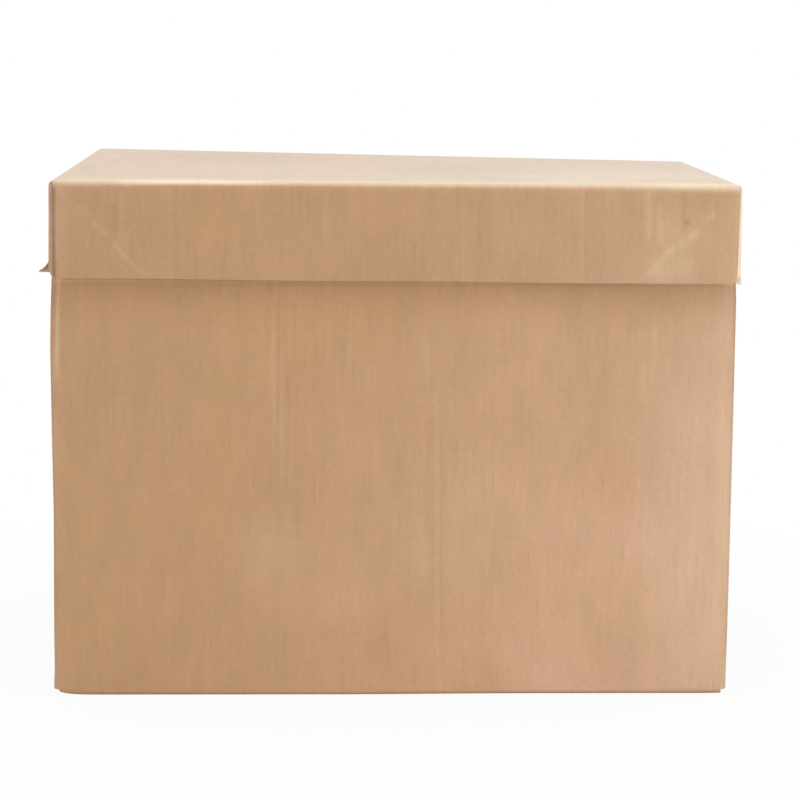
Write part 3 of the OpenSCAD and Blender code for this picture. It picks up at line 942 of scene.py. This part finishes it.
# Grows a wavy sheet inwards from each line of the mesh. Its points say which way the liners lie, how
# much room there is between them, which way is in, and how far along the sheet they are.
def fluteTree():
    tree = bpy.data.node_groups.new("grow_flutes", "GeometryNodeTree")
    tree.interface.new_socket("Cut edges", in_out="INPUT", socket_type="NodeSocketGeometry")
    for name in ("Flute pitch", "Depth", "Paper thickness", "Step"):
        tree.interface.new_socket(name, in_out="INPUT", socket_type="NodeSocketFloat")
    tree.interface.new_socket("Paper", in_out="INPUT", socket_type="NodeSocketMaterial")
    tree.interface.new_socket("Flutes", in_out="OUTPUT", socket_type="NodeSocketGeometry")
    m = TreeMaker(tree)
    given = m.node("NodeGroupInput")
    lines, pitch, depth, paper, step, finish = (Wire(m, given.outputs[k]) for k in range(6))
    across, inward = (m.wire("GeometryNodeInputNamedAttribute", {"data_type": "FLOAT_VECTOR"}, {"Name": name})
                      for name in ("across", "inward"))
    room, travel = (m.wire("GeometryNodeInputNamedAttribute", {"data_type": "FLOAT"}, {"Name": name})
                    for name in ("room", "travel"))
    curve = m.wire("GeometryNodeMeshToCurve", None, {"Mesh": lines})
    fine = m.wire("GeometryNodeResampleCurve", {"mode": "LENGTH"}, {"Curve": curve, "Length": step})
    line = m.wire("GeometryNodeCurveToMesh", None, {"Curve": fine})
    swing = m.math("SINE", travel * (2 * math.pi) / pitch) * (room * 0.5 - paper)
    offset = m.wire("ShaderNodeVectorMath", {"operation": "SCALE"}, {0: across, "Scale": swing})
    wavy = m.wire("GeometryNodeSetPosition", None, {"Geometry": line, "Offset": offset})
    sheet = m.wire("GeometryNodeExtrudeMesh", {"mode": "EDGES"},
                   {"Mesh": wavy, "Offset": inward, "Offset Scale": depth})
    front = m.wire("GeometryNodeExtrudeMesh", {"mode": "FACES"},
                   {"Mesh": sheet, "Offset Scale": paper, "Individual": False})
    back = m.wire("GeometryNodeFlipFaces", None, {"Mesh": sheet})
    join = m.node("GeometryNodeJoinGeometry")
    tree.links.new(front.socket, join.inputs[0])
    tree.links.new(back.socket, join.inputs[0])
    closed = m.wire("GeometryNodeMergeByDistance", None,
                    {"Geometry": Wire(m, join.outputs[0]), "Distance": 1e-6})
    real = m.wire("GeometryNodeRealizeInstances", None, {"Geometry": closed})
    papered = m.wire("GeometryNodeSetMaterial", None, {"Geometry": real, "Material": finish})
    m.node("NodeGroupOutput", None, {0: papered})
    return tree


def flutingMaterial():
    material, m = newMaterial("fluting_paper")
    place = m.wire("ShaderNodeTexCoord", output="Object")
    fibre = m.noise(place, 700, 3, 0.6)
    cloud = m.noise(place, 60, 2)
    paper = m.mix(m.remap(fibre * 0.6 + cloud * 0.4, 0.38, 0.62), flutes["shade"], flutes["colour"])
    bump = m.wire("ShaderNodeBump", None, {"Strength": 0.5, "Distance": 1.0, "Height": fibre * 0.0001})
    rough = flutes["roughness"] + (cloud - 0.5) * 0.2
    shader = m.wire("ShaderNodeBsdfPrincipled", None,
                    {"Base Color": paper, "Roughness": rough, "Normal": bump})
    m.node("ShaderNodeOutputMaterial", None, {"Surface": shader})
    return material


def makeFlutes(name, sheet, tree, paper):
    places, edges, count = [], [], 0
    values = {"across": [], "inward": [], "room": [], "travel": []}
    for edge, _ in sheet.runs:
        edge = edge[np.concatenate(([True], np.diff(edge) != 0))]
        gap = sheet.outer[edge] - sheet.inner[edge]
        width = np.linalg.norm(gap, axis=1)
        places.append((sheet.outer[edge] + sheet.inner[edge]) / 2 + sheet.inward[edge] * flutes["setBack"])
        values["across"].append(gap / width[:, None])
        values["inward"].append(sheet.inward[edge])
        values["room"].append((width - 2 * board["liner"]) * mm)
        values["travel"].append(sheet.flat[edge, 0] * mm)
        edges += [(count + k, count + k + 1) for k in range(len(edge) - 1)]
        count += len(edge)
    mesh = bpy.data.meshes.new(name + "_lines")
    mesh.from_pydata((np.concatenate(places) * mm).tolist(), edges, [])
    for key, parts in values.items():
        value = np.concatenate(parts).astype(np.float32)
        kind, field = ("FLOAT_VECTOR", "vector") if value.ndim > 1 else ("FLOAT", "value")
        mesh.attributes.new(key, kind, "POINT").data.foreach_set(field, value.ravel())
    lines = addObject(name + "_lines", mesh)
    grow = lines.modifiers.new("grow", "NODES")
    grow.node_group = tree
    sizes = {"Flute pitch": board["flutePitch"] * mm, "Depth": flutes["depth"] * mm,
             "Paper thickness": board["fluting"] * mm, "Paper": paper,
             "Step": board["flutePitch"] * mm / flutes["stepsPerFlute"]}
    for socket in tree.interface.items_tree:
        if socket.name in sizes:
            grow[socket.identifier] = sizes[socket.name]
    grown = bpy.data.meshes.new_from_object(lines.evaluated_get(bpy.context.evaluated_depsgraph_get()))
    lines.modifiers.remove(grow)
    bpy.data.objects.remove(lines)
    grown.name = name
    shell = bmesh.new()
    shell.from_mesh(grown)
    bmesh.ops.recalc_face_normals(shell, faces=shell.faces)
    shell.to_mesh(grown)
    shell.free()
    return addObject(name, grown)


growFlutes, flutingPaper = fluteTree(), flutingMaterial()
for name, sheet, body in (("base_flutes", baseSheet, "base"), ("lid_flutes", lidSheet, "lid")):
    piece = makeFlutes(name, sheet, growFlutes, flutingPaper)
    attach(piece, body)
    body + "_board"
    print(name + ":", len(piece.data.polygons), "faces")


# Kraft liner: the outer paper of the board
kraft = {
    "yellowish": (0.505, 0.2885, 0.141, 1),     # the paper's two hues
    "pinkish": (0.512, 0.2905, 0.15, 1),
    "paintedLit": (0.70, 0.435, 0.285, 1),           # painted light: paler, pinker paper where the key lamp's light and sheen fall on the base
    "paintedLitLid": (0.66, 0.437, 0.275, 1),        # and the lid
    "worn": (0.83, 0.66, 0.475, 1),             # rubbed folds and cut edges
    "pale": (0.98, 0.80, 0.545, 1),             # pale marks, mostly painted highlights and sheen, at the front
    "paleBack": (0.91, 0.76, 0.62, 1),          # and further back
    "shadeAndGrime": (0.5, 0.262, 0.112, 1),            # dark marks: mostly painted shade, and some grime
    "cutEdge": (0.31, 0.18, 0.095, 1),
    "inside": (0.45, 0.28, 0.16, 1),
    "roughness": 0.52,
}

# Places on the base's front where more of the paler colour is mixed in than around them, or less
paleSpots = [
    {"at": (-0.105, -0.19, 0.12), "reach": 0.06, "more": 0.07},
    {"at": (-0.05, -0.19, 0.11), "reach": 0.07, "more": 0.06},
    {"at": (0.062, -0.19, 0.14), "reach": 0.09, "more": 0.09},
    {"at": (0.003, -0.19, 0.04), "reach": 0.09, "more": -0.1},
]


# The same paper on both pieces, each with its own light and wear
finishes = {
    "kraft_base": {"brightness": 0.905, "paintedLitShare": 1.0, "paintedLitColour": "paintedLit", "sheen": 0.08, "seed": 2.0,
                   "spots": paleSpots},
    "kraft_lid": {"brightness": 0.88, "paintedLitShare": 0.6, "paintedLitColour": "paintedLitLid", "sheen": 0.3, "seed": 21.0,
                  "spots": []},
}


def kraftMaterial(name):
    material, m = newMaterial(name)
    finish = finishes[name]
    seed = finish["seed"]
    flat = m.wire("ShaderNodeUVMap", {"uv_map": "sheet"})
    place = m.wire("ShaderNodeTexCoord", output="Object")
    split = m.node("ShaderNodeSeparateXYZ", None, {0: flat})
    across, along = Wire(m, split.outputs[0]), Wire(m, split.outputs[1])
    wear, cut, inside, formed, mark = (m.wire("ShaderNodeAttribute", {"attribute_name": key}, output="Fac")
                                       for key in ("wear", "cut", "inside", "formed", "tone"))
    clouds = m.noise(m.vector(across, along * 0.7, seed), 7, 2)
    patches = m.noise(m.vector(across * 60, along * 16, seed + 3), 1, 3, 0.55)
    mottle = m.noise(m.vector(across, along, seed + 5), 210, 3, 0.65)
    grain = m.noise(m.vector(across * 900, along * 520, seed), 1, 2, 0.6)
    fibres = m.noise(m.vector(across * 620, along * 30, seed + 13), 1, 2, 0.55)
    creases = m.noise(m.vector(across * 190, along * 13, seed + 17), 1, 2, 0.5)
    wave = m.math("SINE", across * (2 * math.pi / (board["flutePitch"] * mm)))
    shown = m.remap(m.noise(m.vector(across, along, seed + 9), 14, 2), 0.35, 0.7)
    specks = m.wire("ShaderNodeTexVoronoi", {"feature": "F1"},
                    {"Vector": m.vector(across, along, seed), "Scale": 230}, output="Distance")
    fleck = m.remap(specks, 0.05, 0.16, 1, 0) * m.remap(mottle, 0.56, 0.68)
    streak = m.remap(fibres, 0.58, 0.76) - m.remap(fibres, 0.24, 0.42, 1, 0)
    crease = m.remap(creases, 0.64, 0.8) - m.remap(creases, 0.2, 0.36, 1, 0)

    hue = m.noise(m.vector(across, along * 0.85, seed + 11), 9, 3, 0.55)
    paper = m.mix(m.remap(hue * 0.85 + patches * 0.15, 0.41, 0.6), kraft["yellowish"], kraft["pinkish"])
    position = m.node("ShaderNodeSeparateXYZ", None, {0: place})
    # Painted light: the paper turns paler and pinker towards the right and lower down, standing in for the
    # key lamp's light and sheen from the right
    slope = Wire(m, position.outputs[0]) - Wire(m, position.outputs[2]) * 0.6 + (hue - 0.5) * 0.3
    for spot in finish["spots"]:
        away = m.wire("ShaderNodeVectorMath", {"operation": "DISTANCE"},
                      {0: place, 1: spot["at"]}, output="Value")
        slope = slope + m.remap(away, 0, spot["reach"], spot["more"], 0)
    paintedLit = m.remap(slope, -0.22, 0.24, kind="LINEAR") * finish["paintedLitShare"]
    paper = m.mix(paintedLit * m.remap(clouds, 0.35, 0.65, 0.6, 0.9), paper, kraft[finish["paintedLitColour"]])
    # Dark marks take a warm brown: mostly painted shade, and some grime
    paper = m.mix(mark * -8, paper, kraft["shadeAndGrime"])
    tone = finish["brightness"] + (clouds - 0.5) * 0.12 + (patches - 0.5) * 0.17 + (mottle - 0.5) * 0.18
    tone = tone + (grain - 0.5) * 0.08 + streak * 0.085 + crease * 0.06
    # the dark marks, mostly painted shade, also lower the tone
    tone = tone + wave * shown * 0.012 - fleck * 0.2 + m.math("MINIMUM", mark, 0.0)
    paper = m.mix(inside, paper, kraft["inside"])
    scuffed = wear * m.remap(patches + (grain - 0.5) * 0.6, 0.35, 0.62, 0.2, 0.6)
    paper = m.mix(scuffed, paper, kraft["worn"])
    paper = m.mix(cut * 0.9, paper, kraft["cutEdge"])
    # Pale marks, mostly painted highlights and sheen, turn to a pale colour
    pale = m.mix(m.remap(Wire(m, position.outputs[1]), -0.17, 0.02), kraft["pale"], kraft["paleBack"])
    paper = m.mix(mark * 2, paper, pale)
    colour = m.wire("ShaderNodeVectorMath", {"operation": "SCALE"}, {0: paper, "Scale": tone})

    height = wave * (1 - formed) * (board["ripple"] * mm) + (mottle - 0.5) * 0.00006
    height = height + (grain - 0.5) * 0.00003 + streak * 0.00002 + crease * 0.00006
    bump = m.wire("ShaderNodeBump", None, {"Strength": 0.8, "Distance": 1.0, "Height": height})
    rough = kraft["roughness"] + (mottle - 0.5) * 0.15 + wear * 0.05
    shader = m.wire("ShaderNodeBsdfPrincipled", None, {
        "Base Color": colour, "Roughness": rough, "Normal": bump,
        "Sheen Weight": finish["sheen"], "Sheen Roughness": 0.3, "Sheen Tint": (1, 0.96, 0.88, 1)})
    m.node("ShaderNodeOutputMaterial", None, {"Surface": shader})
    return material


baseBoard.data.materials.append(kraftMaterial("kraft_base"))
lidPaper = kraftMaterial("kraft_lid")
for piece in (lidBoard, tornTab):
    piece.data.materials.append(lidPaper)
print("board materials made")


# Studio: a plain pale floor, a white surround and soft lamps
studio = {
    "floorSize": 14,            # metres
    "floorColour": (0.86, 0.86, 0.85, 1),
    "floorGlow": 0.93,          # share of plain white that is seen in the floor beside the object
    "glowReach": (0.3, 0.75),   # metres from the middle, between which the floor turns to plain white
    "ambient": 0.62,
    "lamps": [
        {"name": "key", "at": (1.3, -2.1, 0.65), "size": 1.2, "power": 17},
        {"name": "fill", "at": (-2.0, -1.7, 0.65), "size": 1.2, "power": 9},
        {"name": "overhead", "at": (0.1, 0.1, 2.3), "size": 2.2, "power": 20},
    ],
    "aim": (0, 0, 0.22),
}


def makeStudio(studio):
    size = studio["floorSize"] / 2
    mesh = bpy.data.meshes.new("floor")
    corners = [(-size, -size, 0), (size, -size, 0), (size, size, 0), (-size, size, 0)]
    mesh.from_pydata(corners, [], [(0, 1, 2, 3)])
    floor = addObject("floor", mesh)
    material, m = newMaterial("floor_white")
    path = m.node("ShaderNodeLightPath")
    seen = m.math("MAXIMUM", Wire(m, path.outputs["Is Camera Ray"]), Wire(m, path.outputs["Is Glossy Ray"]))
    matt = m.wire("ShaderNodeBsdfDiffuse", None, {"Color": studio["floorColour"]})
    glow = m.wire("ShaderNodeEmission", None, {"Color": white, "Strength": 1.0})
    place = m.wire("ShaderNodeTexCoord", output="Object")
    away = m.wire("ShaderNodeVectorMath", {"operation": "LENGTH"}, {0: place}, output="Value")
    share = m.remap(away, *studio["glowReach"], studio["floorGlow"], 1.0)
    both = m.wire("ShaderNodeMixShader", None, {0: seen * share, 1: matt, 2: glow})
    m.node("ShaderNodeOutputMaterial", None, {"Surface": both})
    mesh.materials.append(material)

    world = bpy.data.worlds.new("surround")
    bpy.context.scene.world = world
    world.use_nodes = True
    world.node_tree.nodes.clear()
    m = TreeMaker(world.node_tree)
    path = m.node("ShaderNodeLightPath")
    seen = [Wire(m, path.outputs[name]) for name in ("Is Camera Ray", "Is Glossy Ray", "Is Transmission Ray")]
    shown = m.math("MAXIMUM", m.math("MAXIMUM", seen[0], seen[1]), seen[2])
    strength = studio["ambient"] + shown * (1 - studio["ambient"])
    back = m.wire("ShaderNodeBackground", None, {"Color": white, "Strength": strength})
    m.node("ShaderNodeOutputWorld", None, {"Surface": back})

    for lamp in studio["lamps"]:
        light = bpy.data.lights.new(lamp["name"], "AREA")
        light.size, light.energy = lamp["size"], lamp["power"]
        holder = addObject(lamp["name"], light)
        away = Vector(lamp["at"]) - Vector(studio["aim"])
        holder.location = lamp["at"]
        holder.rotation_euler = away.to_track_quat("Z", "Y").to_euler()


makeStudio(studio)
bpy.context.scene.view_settings.view_transform = "Standard"
print("studio lit")
